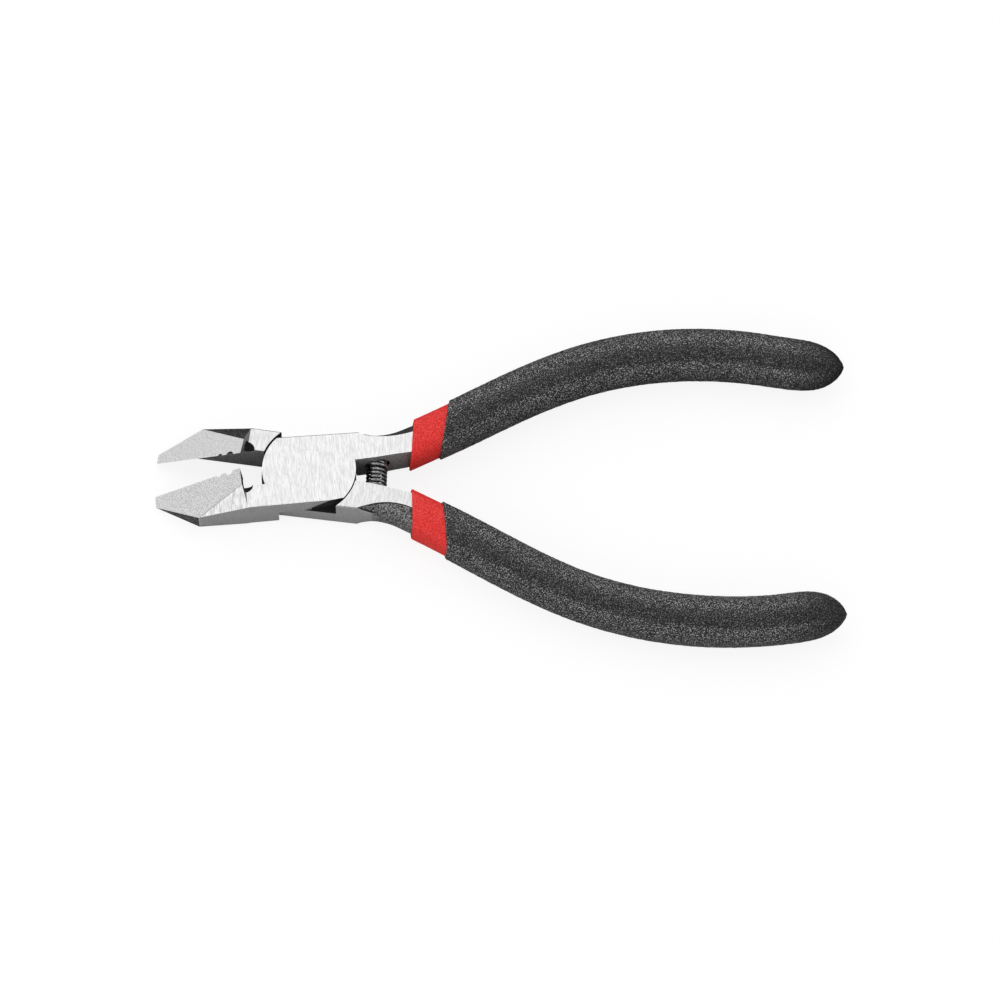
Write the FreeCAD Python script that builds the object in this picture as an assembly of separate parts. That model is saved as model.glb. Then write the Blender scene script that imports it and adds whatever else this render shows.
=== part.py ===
import FreeCAD, Part
import math
import os

# Diagonal cutting pliers with a half-lap joint, a coil return spring and double-dipped
# handle grips.  Millimetres.  The pliers lie flat: +Z is the outward side of the front
# face, the pivot axis is Z through the origin, the origin is on the flat back face,
# the jaws point along -X and the handles along +X.
#
# Each arm is drawn with the tool closed, its jaw on one side of the X axis and its
# handle on the other.  The rear arm has its jaw on +Y, the front arm is its mirror
# image, and they differ only in which half of the lap they keep.  At the end each arm
# turns about the pivot by half of the opening that the return spring holds.

# ---- driving dimensions: head ---------------------------------------------------------
HEAD_THICKNESS = 9.6
REST_HALF_ANGLE = 6.6          # opening of each arm at rest, degrees
LAP_RADIUS = 10.95             # round of the lap, about the pivot
SHOULDER_RADIUS = 11.25        # hollow of the shoulders that run round the lap
FACE_LAP_RADIUS = 10.7         # round of the front half of the lap, on its jaw side
FACE_SHOULDER_RADIUS = 11.2    # and of the shoulder that runs round it there
LAP_GAP = 0.06                 # running gap between the two lap faces
HEAD_HALF_WIDTH = 8.22         # on the jaw side of an arm
HANDLE_SIDE = ((-12.0, 8.62), (12.3, 8.2))   # the line of its handle side: x, y
HANDLE_INNER_Y = 1.2           # inner wall of the handle side, at the pivot
EDGE_CHAMFER = 0.2             # along the outer edges of the head
CHAMFER_END_X = 9.0            # the head's own chamfers stop this far from the pivot

# ---- jaw ------------------------------------------------------------------------------
JAW_SHOULDER = (-14.5, 8.33)   # widest point of the jaw's outer side
JAW_BELLY = (-26.15, 8.2)      # where the outer side starts to run in to the tip
TIP_WIDTH = 2.55
BLADE_ROOT_X = -15.8           # inner end of the cutting edge
BLADE_TIP_X = -35.85
BLADE_ROOT_HEIGHT = 4.0        # cutting edge above the front face, at its root
BLADE_TIP_THICKNESS = 0.53
EDGE_GAP = 0.04                # half of the gap between the closed cutting edges
BEVEL_ANGLE = 35.0             # inner bevel of the blade, from the vertical
JAW_INNER_Y = 2.95             # vertical clearance wall behind the blade
FACET_FALL = 0.18              # fall of the big facet, per millimetre outwards
RIDGE_POINT = (-15.9, 3.7, 3.45)   # where the two facets meet at the step: x, y, height
SIDE_FACET_RISE = 0.35         # of the smaller facet, per millimetre towards the pivot
SIDE_FACET_FALL = 0.91         # the same, per millimetre outwards
STEP_FOOT_X = -14.7            # foot of the step between the jaw and the front face
STEP_LEAN = 0.27
NOTCHES = ((-20.6, 0.5), (-18.3, 0.8))   # wire stripping notches: x, radius
HOLLOW_RADIUS = 1.75           # round hollow at the foot of the step
HOLLOW_CENTRE = (-14.85, 2.85, 0.35)   # x, y, height above the front face
# undercut of the corner of the front half of the lap: x where it starts at the lap face
# and where it reaches the front face, its rise per millimetre inwards, its far end
UNDERCUT_START_X = -1.3
UNDERCUT_TOP_X = 4.7
UNDERCUT_RISE = 8.0
UNDERCUT_END_X = 8.5

# ---- rivet and spring -----------------------------------------------------------------
RIVET_SHANK_RADIUS = 2.8
RIVET_HEAD_RADIUS = 4.8
RIVET_HEAD_DEPTH = 1.8
RIVET_CLEARANCE = 0.04
SPRING_X = 16.1                # pocket axis from the pivot, closed
SPRING_RADIUS = 1.96           # to the middle of the wire
SPRING_WIRE_RADIUS = 0.34
SPRING_COILS = 10
SPRING_SEAT_GAP = 0.3          # room at each end for the tilt of the pocket floor
POCKET_RADIUS = 2.85
POCKET_DEPTH = 2.5
POCKET_WALL_Y = 1.6            # inner wall of the handle at the spring

# ---- handle ---------------------------------------------------------------------------
TANG_START_X, TANG_SIDE_Y = HANDLE_SIDE[1]
# sections of the bare tang: x, inner wall, edge of the wide flat, edge of the narrow
# flat, outermost point, and how much thinner than the head each face is.  Both arms are
# the same forging turned over: the wide flat is at the front of the front arm and at the
# back of the rear arm.
BARE_TANG = ((TANG_START_X, 1.4, TANG_SIDE_Y - 0.1, TANG_SIDE_Y - 0.1, TANG_SIDE_Y, 0.0),
             (15.0, 1.55, 7.1, 6.85, 7.95, 0.0), (18.0, 1.8, 6.65, 5.9, 8.15, 0.05),
             (21.0, 2.1, 6.7, 5.5, 8.8, 0.18), (25.0, 2.55, 7.4, 6.0, 10.3, 0.5))
CORE_STATIONS = (33.0, 44.0, 58.0, 72.0, 86.0, 100.0, 116.0)
CORE_INNER = -3.4              # inner wall of the bar in the grip, from the centreline
CORE_FLAT = 1.0                # edge of its flat faces
CORE_BULGE = 3.8               # its outermost point
CORE_HALF_THICKNESS = 3.5
CENTRELINE = ((20.0, 4.15), (34.5, 9.5), (48.2, 15.05), (65.1, 20.6), (85.0, 23.15),
              (104.4, 21.35), (120.3, 17.6), (127.5, 16.7))

# ---- dipped coats ---------------------------------------------------------------------
SLEEVE_HALF_WIDTH = 5.45
SLEEVE_HALF_THICKNESS = 5.05
GRIP_HALF_WIDTH = 6.05
GRIP_HALF_THICKNESS = 5.6
SLEEVE_MOUTH_X = 24.2
GRIP_MOUTH_X = 30.0
SLEEVE_MOUTH_LEAN = 6.0        # lean of each dip line from square to the X axis, degrees
GRIP_MOUTH_LEAN = 12.5
MOUTH_RAKE = 0.06              # how far the dip lines run forward, per millimetre upwards
MOUTH_SHARE = 0.915            # width of the coats at their mouths, part of the full width
FULL_WIDTH_X = 50.0            # where the coats reach their full width
MOUTH_POWER = 3.4              # section exponent at the mouth: squarish
HAND_POWER = 2.2               # and in the hand: nearly oval
SLEEVE_END_X = 125.8
GRIP_END_X = 126.8
# rounding of the end: distance back from it, and the part of the full section left there
NOSE = ((13.0, 1.0), (8.4, 0.96), (5.4, 0.86), (3.0, 0.64), (1.3, 0.41), (0.0, 0.14))

# ---- values worked out from them ----------------------------------------------------
MID_Z = HEAD_THICKNESS / 2.0
BIG = 60.0                     # reach of the cutting shapes, beyond any part of the tool
SECTION_POINTS = 16            # points round a coat's section
DIP_STATIONS = 10              # sections along a coat before its nose
MOUTH_ALLOWANCE = 6.0          # extra length of a coat before its dip line is cut
HALVINGS = 40                  # steps of the search along the centreline
BLADE_SLOPE = ((HEAD_THICKNESS + BLADE_ROOT_HEIGHT - BLADE_TIP_THICKNESS)
               / (BLADE_ROOT_X - BLADE_TIP_X))

REAR = 1                       # side of the X axis that the arm's jaw is on
FRONT = -1
Z_AXIS = FreeCAD.Vector(0, 0, 1)
ORIGIN = FreeCAD.Vector(0, 0, 0)


def prism(points, bottom, top, side=REAR):
    """Upright prism over a plan outline of (x, y) points, with y mirrored for FRONT."""
    corners = [FreeCAD.Vector(x, side * y, bottom) for x, y in points]
    face = Part.Face(Part.makePolygon(corners + corners[:1]))
    return face.extrude(FreeCAD.Vector(0, 0, top - bottom))


def pillar(radius, bottom, top):
    """Cylinder about the pivot axis."""
    return Part.makeCylinder(radius, top - bottom, FreeCAD.Vector(0, 0, bottom))


def space_above(height):
    """Everything above the sloping plane z = height(x, y), over the jaw."""
    corners = []
    for x, y in ((-BIG, -BIG), (BIG, -BIG), (BIG, BIG), (-BIG, BIG)):
        corners.append(FreeCAD.Vector(x, y, height(x, y)))
    face = Part.Face(Part.makePolygon(corners + corners[:1]))
    return face.extrude(FreeCAD.Vector(0, 0, 3 * BIG))


# ---- jaw ----------------------------------------------------------------------------
def edge_height(x):
    """Height of the cutting edge, which falls from its root to the tip."""
    return HEAD_THICKNESS + BLADE_ROOT_HEIGHT + BLADE_SLOPE * (x - BLADE_ROOT_X)


def big_facet(side):
    """Plane of the ground facet that ends in the cutting edge."""
    return lambda x, y: edge_height(x) - FACET_FALL * (side * y - EDGE_GAP)


def side_facet(side):
    """Plane of the smaller facet between the big one and the outer side."""
    ridge_x, ridge_y, ridge_height = RIDGE_POINT
    base = HEAD_THICKNESS + ridge_height
    return lambda x, y: (base + SIDE_FACET_RISE * (x - ridge_x)
                         - SIDE_FACET_FALL * (side * y - ridge_y))


def blade_clearance(side):
    """The space under the blade: the inner bevel, then the upright clearance wall."""
    start_x = BLADE_TIP_X - LAP_RADIUS
    edge_z = edge_height(start_x)
    bevel_drop = (JAW_INNER_Y - EDGE_GAP) / math.tan(math.radians(BEVEL_ANGLE))
    section = ((EDGE_GAP, edge_z), (JAW_INNER_Y, edge_z - bevel_drop),
               (JAW_INNER_Y, -BIG), (-BIG, -BIG), (-BIG, edge_z))
    corners = [FreeCAD.Vector(start_x, side * y, z) for y, z in section]
    face = Part.Face(Part.makePolygon(corners + corners[:1]))
    run = BLADE_ROOT_X / 2 - start_x
    return face.extrude(FreeCAD.Vector(run, 0, run * BLADE_SLOPE))


def step_space():
    """What is ground away above the front face, behind the leaning step of the jaw."""
    high = 2 * BIG
    section = ((STEP_FOOT_X, HEAD_THICKNESS), (BIG, HEAD_THICKNESS),
               (BIG, HEAD_THICKNESS + high),
               (STEP_FOOT_X - STEP_LEAN * high, HEAD_THICKNESS + high))
    corners = [FreeCAD.Vector(x, -BIG, z) for x, z in section]
    face = Part.Face(Part.makePolygon(corners + corners[:1]))
    return face.extrude(FreeCAD.Vector(0, 2 * BIG, 0))


def strip_notches():
    """Half holes across the cutting edge, for stripping wire."""
    drills = []
    for x, radius in NOTCHES:
        drills.append(Part.makeCylinder(radius, 2 * BIG, FreeCAD.Vector(x, 0, -BIG)))
    return drills


def relief_hollow(side):
    """Small round hollow in the front face at the foot of the step, beside the neck."""
    x, y, height = HOLLOW_CENTRE
    return Part.makeSphere(HOLLOW_RADIUS, FreeCAD.Vector(x, side * y, HEAD_THICKNESS + height))


def jaw(side):
    """One jaw with the tool closed, from the tip to the middle of the joint."""
    outline = ((BLADE_TIP_X, EDGE_GAP), (STEP_FOOT_X, EDGE_GAP), (STEP_FOOT_X, JAW_INNER_Y),
               (0, JAW_INNER_Y), (0, HEAD_HALF_WIDTH), JAW_SHOULDER, JAW_BELLY,
               (BLADE_TIP_X, TIP_WIDTH))
    blank = prism(outline, 0, BIG, side)
    cutters = [space_above(big_facet(side)), space_above(side_facet(side)),
               blade_clearance(side), step_space(), relief_hollow(side)]
    return blank.cut(cutters + strip_notches())


# ---- handle -------------------------------------------------------------------------
def tang_section(x, y, heading, inner, back_flat, front_flat, bulge, half_thickness, side):
    """Section of the forged handle: flat inner wall, flat front and back, round outside.

    inner, the edges of the flats and bulge are distances outwards from the point (x, y),
    square to heading.
    """
    angle = math.radians(heading)

    def at(out, z):
        px = x - out * math.sin(angle)
        py = y + out * math.cos(angle)
        return FreeCAD.Vector(px, side * py, z)

    low, high = MID_Z - half_thickness, MID_Z + half_thickness
    corners = [at(back_flat, low), at(inner, low), at(inner, high), at(front_flat, high)]
    edges = [Part.makeLine(a, b) for a, b in zip(corners, corners[1:])]
    edges.append(Part.Arc(corners[-1], at(bulge, MID_Z), corners[0]).toShape())
    return Part.Wire(edges)


def centreline():
    """Middle line of the handle with the tool closed, the jaw on the other side."""
    curve = Part.BSplineCurve()
    curve.interpolate([FreeCAD.Vector(x, y, 0) for x, y in CENTRELINE])
    return curve


def station(curve, x):
    """Point and heading in degrees of the centreline where it passes x."""
    low, high = curve.FirstParameter, curve.LastParameter
    for _ in range(HALVINGS):
        middle = (low + high) / 2.0
        if curve.value(middle).x < x:
            low = middle
        else:
            high = middle
    point = curve.value(low)
    tangent = curve.tangent(low)[0]
    return point.x, point.y, math.degrees(math.atan2(tangent.y, tangent.x))


def tang(side):
    """The handle's steel: the bare tang, then the bar inside the grip."""
    sections = []
    for x, inner, wide, narrow, bulge, thinner in BARE_TANG:
        back_flat, front_flat = (narrow, wide) if side == -FRONT else (wide, narrow)
        sections.append(tang_section(x, 0, 0, inner, back_flat, front_flat, bulge,
                                     MID_Z - thinner, side))
    curve = centreline()
    for place in CORE_STATIONS:
        x, y, heading = station(curve, place)
        sections.append(tang_section(x, y, heading, CORE_INNER, CORE_FLAT, CORE_FLAT,
                                     CORE_BULGE, CORE_HALF_THICKNESS, side))
    return Part.makeLoft(sections, True, False)


def handle_side_y(x):
    """Outer side of the head on the handle side of an arm."""
    (x0, y0), (x1, y1) = HANDLE_SIDE
    return y0 + (y1 - y0) * (x - x0) / (x1 - x0)


def handle_root(side):
    """The flat block of the handle side of the head, from the pivot to the tang."""
    tang_inner = BARE_TANG[0][1]
    outline = ((0, HANDLE_INNER_Y), (TANG_START_X, tang_inner), (TANG_START_X, TANG_SIDE_Y),
               (0, handle_side_y(0)))
    return prism(outline, 0, HEAD_THICKNESS, side)


def spring_pocket(side):
    """Blind pocket in the inner wall of the handle for one end of the spring."""
    mouth = FreeCAD.Vector(SPRING_X, 0, MID_Z)
    depth = POCKET_WALL_Y + POCKET_DEPTH
    return Part.makeCylinder(POCKET_RADIUS, depth, mouth, FreeCAD.Vector(0, side, 0))


# ---- arms ---------------------------------------------------------------------------
def lap_disc(side):
    """The round of the lap with flats at the outer sides of the head, full thickness."""
    flats = ((-BIG, -handle_side_y(-BIG)), (BIG, -handle_side_y(BIG)), (BIG, HEAD_HALF_WIDTH),
             (-BIG, HEAD_HALF_WIDTH))
    disc = pillar(LAP_RADIUS, 0, HEAD_THICKNESS)
    return disc.common(prism(flats, 0, HEAD_THICKNESS, side))


def edge_bar(start, end, height, side):
    """Square bar on edge, which takes a small chamfer off a straight outer edge."""
    first = FreeCAD.Vector(start[0], side * start[1], height)
    last = FreeCAD.Vector(end[0], side * end[1], height)
    across = Z_AXIS.cross(last - first).normalize() * EDGE_CHAMFER
    upright = Z_AXIS * EDGE_CHAMFER
    corners = [first + across, first + upright, first - across, first - upright]
    face = Part.Face(Part.makePolygon(corners + corners[:1]))
    return face.extrude(last - first)


def edge_chamfers(side):
    """Chamfers along the front and back edges of the outer sides of the head."""
    bars = []
    for height in (0, HEAD_THICKNESS):
        bars.append(edge_bar(JAW_SHOULDER, (0, HEAD_HALF_WIDTH), height, side))
        bars.append(edge_bar((0, HEAD_HALF_WIDTH), (CHAMFER_END_X, HEAD_HALF_WIDTH), height,
                             side))
        bars.append(edge_bar((-CHAMFER_END_X, handle_side_y(-CHAMFER_END_X)),
                             (TANG_START_X, TANG_SIDE_Y), height, -side))
    return bars


def lap_round(jaw_radius, handle_radius, bottom, top):
    """Upright disc about the pivot, with its own radius on the jaw and handle sides."""
    jaw_side = prism(((-BIG, -BIG), (0, -BIG), (0, BIG), (-BIG, BIG)), bottom, top)
    handle_side = prism(((0, -BIG), (BIG, -BIG), (BIG, BIG), (0, BIG)), bottom, top)
    left = pillar(jaw_radius, bottom, top).common(jaw_side)
    right = pillar(handle_radius, bottom, top).common(handle_side)
    return left.fuse(right)


def corner_undercut(side):
    """Sloping undercut below the corner of the front half of the lap, beside the tang."""
    slope = (HEAD_THICKNESS - MID_Z) / (UNDERCUT_TOP_X - UNDERCUT_START_X)
    corners = []
    for x, y in ((UNDERCUT_START_X, 0), (BIG, 0), (BIG, BIG), (UNDERCUT_START_X, BIG)):
        height = (MID_Z + slope * (x - UNDERCUT_START_X)
                  + UNDERCUT_RISE * (y - HEAD_HALF_WIDTH))
        corners.append(FreeCAD.Vector(x, side * y, height))
    face = Part.Face(Part.makePolygon(corners + corners[:1]))
    below = face.extrude(FreeCAD.Vector(0, 0, -UNDERCUT_RISE * 2 * BIG))
    reach = prism(((UNDERCUT_START_X, JAW_INNER_Y), (UNDERCUT_END_X, JAW_INNER_Y),
                   (UNDERCUT_END_X, LAP_RADIUS), (UNDERCUT_START_X, LAP_RADIUS)),
                  MID_Z, BIG, side)
    return below.common(reach)


def arm(side):
    """One arm, closed.  The front arm keeps the front half of the lap."""
    outside = jaw(side).fuse([handle_root(-side), tang(-side)])
    if side == FRONT:
        low, high = MID_Z + LAP_GAP / 2, HEAD_THICKNESS
        kept = lap_round(FACE_LAP_RADIUS, LAP_RADIUS, low, high)
        hollow = pillar(SHOULDER_RADIUS, -BIG, low)
    else:
        low, high = 0.0, MID_Z - LAP_GAP / 2
        kept = pillar(LAP_RADIUS, low, high)
        hollow = lap_round(FACE_SHOULDER_RADIUS, SHOULDER_RADIUS, high, BIG)
    half = kept.common(lap_disc(side))
    if side == FRONT:
        half = half.cut(corner_undercut(side))
    body = outside.cut(hollow).fuse(half)
    return body.cut([spring_pocket(-side)] + edge_chamfers(side)).removeSplitter()


# ---- rivet --------------------------------------------------------------------------
def rivet(clearance):
    """Flush rivet with a countersunk head at each face; clearance widens it all over."""
    shank = pillar(RIVET_SHANK_RADIUS + clearance, 0, HEAD_THICKNESS)
    back = Part.makeCone(RIVET_HEAD_RADIUS + clearance, RIVET_SHANK_RADIUS + clearance,
                         RIVET_HEAD_DEPTH)
    front = Part.makeCone(RIVET_SHANK_RADIUS + clearance, RIVET_HEAD_RADIUS + clearance,
                          RIVET_HEAD_DEPTH,
                          FreeCAD.Vector(0, 0, HEAD_THICKNESS - RIVET_HEAD_DEPTH))
    return shank.fuse([back, front]).removeSplitter()


# ---- grips --------------------------------------------------------------------------
def past_mouth(x):
    """0 at the mouth of the sleeve, rising smoothly to 1 where the grip is full width."""
    share = min(max((x - SLEEVE_MOUTH_X) / (FULL_WIDTH_X - SLEEVE_MOUTH_X), 0.0), 1.0)
    return share * share * (3 - 2 * share)


def squareness(x):
    """Exponent of the coat's section: squarish over the tang, nearly oval in the hand."""
    return MOUTH_POWER + (HAND_POWER - MOUTH_POWER) * past_mouth(x)


def oval(x, y, heading, half_width, half_thickness, power, side):
    """Rounded section of a coat, square to the handle."""
    angle = math.radians(heading)
    points = []
    for step in range(SECTION_POINTS):
        turn = 2 * math.pi * step / SECTION_POINTS
        cosine, sine = math.cos(turn), math.sin(turn)
        out = half_width * math.copysign(abs(cosine) ** (2 / power), cosine)
        up = half_thickness * math.copysign(abs(sine) ** (2 / power), sine)
        points.append(FreeCAD.Vector(x - out * math.sin(angle),
                                     side * (y + out * math.cos(angle)), MID_Z + up))
    curve = Part.BSplineCurve()
    curve.interpolate(points, PeriodicFlag=True)
    return Part.Wire([curve.toShape()])


def dip(mouth_x, end_x, half_width, half_thickness, side):
    """Solid outside of a dipped coat, from before its mouth to its blunt point."""
    curve = centreline()
    start_x = mouth_x - MOUTH_ALLOWANCE
    stride = (end_x - NOSE[0][0] - start_x) / (DIP_STATIONS - 1)
    stations = [(start_x + stride * step, 1.0) for step in range(DIP_STATIONS)]
    stations += [(end_x - back, share) for back, share in NOSE[1:]]
    wires = []
    for place, share in stations:
        x, y, heading = station(curve, place)
        width = half_width * share * (MOUTH_SHARE + (1 - MOUTH_SHARE) * past_mouth(place))
        wires.append(oval(x, y, heading, width, half_thickness * share, squareness(place),
                          side))
    return Part.makeLoft(wires, True, False)


def behind_mouth(mouth_x, lean, side):
    """The space on the jaw side of a dip line that leans outwards along the handle."""
    shift = BIG * math.tan(math.radians(lean))
    drop = MOUTH_RAKE * (BIG + MID_Z)
    corners = []
    for x, y in ((-BIG, -BIG), (mouth_x - shift - drop, -BIG), (mouth_x + shift - drop, BIG),
                 (-BIG, BIG)):
        corners.append(FreeCAD.Vector(x, side * y, -BIG))
    face = Part.Face(Part.makePolygon(corners + corners[:1]))
    return face.extrude(FreeCAD.Vector(2 * BIG * MOUTH_RAKE, 0, 2 * BIG))


def coats(side, steel):
    """Inner sleeve and outer grip of the handle on the given side."""
    inner = dip(SLEEVE_MOUTH_X, SLEEVE_END_X, SLEEVE_HALF_WIDTH, SLEEVE_HALF_THICKNESS, side)
    outer = dip(GRIP_MOUTH_X, GRIP_END_X, GRIP_HALF_WIDTH, GRIP_HALF_THICKNESS, side)
    inner = inner.cut(behind_mouth(SLEEVE_MOUTH_X, SLEEVE_MOUTH_LEAN, side))
    outer = outer.cut(behind_mouth(GRIP_MOUTH_X, GRIP_MOUTH_LEAN, side))
    return inner.cut(steel), outer.cut(inner).cut(steel)


# ---- spring -------------------------------------------------------------------------
def spring():
    """Coil spring between the pocket floors with the tool at rest, its axis along Y."""
    half_angle = math.radians(REST_HALF_ANGLE)
    floor_y = POCKET_WALL_Y + POCKET_DEPTH
    seat_y = SPRING_X * math.sin(half_angle) + floor_y * math.cos(half_angle)
    seat_x = SPRING_X * math.cos(half_angle) - floor_y * math.sin(half_angle)
    half_length = seat_y - SPRING_SEAT_GAP - SPRING_WIRE_RADIUS
    axis_x = seat_x + POCKET_DEPTH / 2 * math.sin(half_angle)
    pitch = 2 * half_length / SPRING_COILS
    helix = Part.makeHelix(pitch, 2 * half_length, SPRING_RADIUS)
    ring = Part.makeCircle(SPRING_WIRE_RADIUS, FreeCAD.Vector(SPRING_RADIUS, 0, 0),
                           FreeCAD.Vector(0, 1, 0))
    coil = Part.Wire(helix).makePipeShell([Part.Wire([ring])], True, True)
    coil.rotate(ORIGIN, FreeCAD.Vector(1, 0, 0), -90)
    coil.translate(FreeCAD.Vector(axis_x, -half_length, MID_Z))
    return coil


def export(name, shape, turn=0.0):
    """Turn a closed-tool shape about the pivot and write it as one node."""
    shape = shape.copy()
    shape.rotate(ORIGIN, Z_AXIS, turn)
    shape.exportStep("parts/" + name + ".step")
    box = shape.BoundBox
    print(name, "valid", shape.isValid(), "solids", len(shape.Solids),
          "volume", round(shape.Volume, 1),
          "box", [round(v, 2) for v in (box.XMin, box.XMax, box.YMin, box.YMax,
                                        box.ZMin, box.ZMax)])


def main():
    os.makedirs("parts", exist_ok=True)
    pin = rivet(0.0)
    turns = {FRONT: REST_HALF_ANGLE, REAR: -REST_HALF_ANGLE}
    names = {FRONT: "front", REAR: "rear"}
    holes = {FRONT: pin, REAR: rivet(RIVET_CLEARANCE)}
    for side in (FRONT, REAR):
        steel = arm(side)
        sleeve, grip = coats(-side, steel)
        export(names[side] + "_arm", steel.cut(holes[side]), turns[side])
        export(names[side] + "_inner_sleeve", sleeve, turns[side])
        export(names[side] + "_grip", grip, turns[side])
    export("pivot_rivet", pin)
    export("return_spring", spring())


main()
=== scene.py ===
import math

import bpy
import numpy as np
from mathutils import Matrix, Vector, noise


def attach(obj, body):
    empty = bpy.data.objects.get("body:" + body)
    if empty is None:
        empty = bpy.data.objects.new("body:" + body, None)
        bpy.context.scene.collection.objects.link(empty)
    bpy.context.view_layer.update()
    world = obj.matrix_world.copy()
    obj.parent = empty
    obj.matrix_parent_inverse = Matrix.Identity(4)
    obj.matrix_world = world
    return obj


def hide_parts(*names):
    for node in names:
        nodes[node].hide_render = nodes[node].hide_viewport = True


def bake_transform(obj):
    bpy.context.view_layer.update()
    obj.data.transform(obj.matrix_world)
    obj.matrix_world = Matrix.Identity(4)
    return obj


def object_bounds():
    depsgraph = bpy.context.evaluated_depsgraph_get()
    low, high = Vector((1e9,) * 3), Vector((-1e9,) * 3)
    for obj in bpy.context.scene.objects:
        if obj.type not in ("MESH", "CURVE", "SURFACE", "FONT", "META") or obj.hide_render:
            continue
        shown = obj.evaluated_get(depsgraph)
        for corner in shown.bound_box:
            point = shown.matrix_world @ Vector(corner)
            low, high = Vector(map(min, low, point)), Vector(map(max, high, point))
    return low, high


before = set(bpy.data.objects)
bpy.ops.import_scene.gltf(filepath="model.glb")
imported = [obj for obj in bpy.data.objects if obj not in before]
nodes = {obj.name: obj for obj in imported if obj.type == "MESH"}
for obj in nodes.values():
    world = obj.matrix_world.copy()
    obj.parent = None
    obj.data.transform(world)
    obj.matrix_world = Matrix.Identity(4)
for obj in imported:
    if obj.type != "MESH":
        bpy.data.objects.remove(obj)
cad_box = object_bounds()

MM = 0.001

# ---- the tool, in millimetres, as the CAD has it ---------------------------------------
HEAD_THICKNESS = 9.6
MID_Z = HEAD_THICKNESS / 2
REST_ANGLE = math.radians(6.6)     # opening of each arm at rest
RIVET_RADIUS = 4.8
SHOULDER_RADII = (10.3, 11.45)     # the round walls of the lap lie between these
HOLLOW_CENTRE = (-14.85, 2.85, HEAD_THICKNESS + 0.35)
HOLLOW_RADIUS = 1.75
UNDERCUT_X = (-1.35, 8.6)          # below the corner of the front arm's lap
UNDERCUT_NORMAL_Z = -0.123
EDGE_ROOT_X = -15.8                # cutting edge: inner end, height there and slope
EDGE_ROOT_Z = HEAD_THICKNESS + 4.0
BLADE_SLOPE = 0.652
FACET_FALL = 0.18                  # of the big facet, per millimetre outwards
NOTCHES = ((-20.6, 0.5), (-18.3, 0.8))   # x, radius
STEP_X = -14.0                     # the step between jaw and face lies beyond this
TAPER_X = -26.0                    # and the jaw's tapering outer side beyond this
TANG_START_X = 12.3
# outer border of a tang's flat: y = lowest + bend * (x - middle) ** 2
WIDE_FLAT = (6.63, 0.024, 19.0)
NARROW_FLAT = (5.50, 0.036, 21.2)
SLIT_X = (12.45, 17.6)             # slit between the ground side and the forged tang
SLIT_DEPTH = 3.0                   # below the face, at its far end
SLIT_RUN = 1.9                     # the drop to that depth fades out with this length
SLIT_HALF_WIDTH = 0.42
POCKET_AXIS_X = 16.1
POCKET_RADIUS = 2.85
SPRING_AXIS_X = 15.66
SPRING_HALF_LENGTH = 5.3
SPRING_RADIUS = 2.12
SPRING_WIRE_RADIUS = 0.36
SPRING_TURNS = 11
WIDE_TURN = (8.25, 0.33, 0.55)     # which turn, its spread in turns, extra radius

# Handles with the tool closed: +1 is the front arm's, on +Y, and -1 the rear arm's.
FRONT, REAR = 1, -1
BODY = {FRONT: "front_half", REAR: "rear_half"}
CENTRELINE = {
    FRONT: ((20.0, 4.15), (34.5, 9.7), (48.2, 15.37), (65.1, 20.93), (85.0, 23.2),
            (104.4, 21.05), (120.3, 17.35), (127.5, 16.5)),
    REAR: ((20.0, 4.15), (34.5, 9.4), (48.2, 14.83), (65.1, 20.5), (85.0, 23.15),
           (104.4, 21.7), (112.5, 19.95), (121.0, 17.65), (128.2, 16.55)),
}
# unevenness of the dips: change of the half width along the handle
UNEVEN = {
    FRONT: ((24.0, 0.0), (46.0, -0.1), (64.0, 0.03), (84.0, 0.2), (106.0, 0.12),
            (126.0, -0.06)),
    REAR: ((24.0, -0.05), (46.0, -0.12), (78.0, -0.1), (92.0, -0.03), (108.0, -0.15),
           (127.0, -0.16)),
}
END_X = {FRONT: 126.7, REAR: 127.3}
FULL_X = (24.2, 50.0)              # the coats widen from the first to the second
MOUTH_SHARE = 0.885                # width at the mouth, part of the full width
MOUTH_POWER = 3.4                  # section exponent at the mouth: squarish
HAND_POWER = 2.2                   # and in the hand: nearly oval
MOUTH_RAKE = 0.06                  # how far dip lines run forward, per millimetre upwards
NOSE_LENGTH = 13.0                 # rounded end, and the exponent of its outline
NOSE_POWER = 0.683
INNER_RINGS = 36                   # along a coat's inside
# coats: half width, half thickness and wall; mouth's x on the axis and lean in degrees
SLEEVE_SIZE = (5.42, 5.0, 0.6)
SLEEVE_MOUTH = {FRONT: (23.6, 7.5), REAR: (23.9, 8.7)}
SLEEVE_SHORTER = 1.0               # its end stays this far inside the grip's
GRIP_SIZE = (5.93, 5.52, 0.5)
GRIP_MOUTH = {FRONT: (30.35, 12.5), REAR: (30.85, 12.5)}

# limits of the upright part of a normal: level faces, walls and the steeper facet
LEVEL = (0.93, 0.985)
LEVEL_ON_TANG = (0.6, 0.7)
WALL = (0.45, 0.6)
STEEP = (0.74, 0.78)

# view: height above the horizon and roll, in degrees; distances in metres
ELEVATION = 67.0
ROLL = 1.36
TARGET_RIGHT, TARGET_DOWN = 0.04426, 0.005344    # aim, from the middle of the joint
CAMERA_DISTANCE = 1.2866
FOCAL_LENGTH, SENSOR_WIDTH = 200, 36             # millimetres


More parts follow.
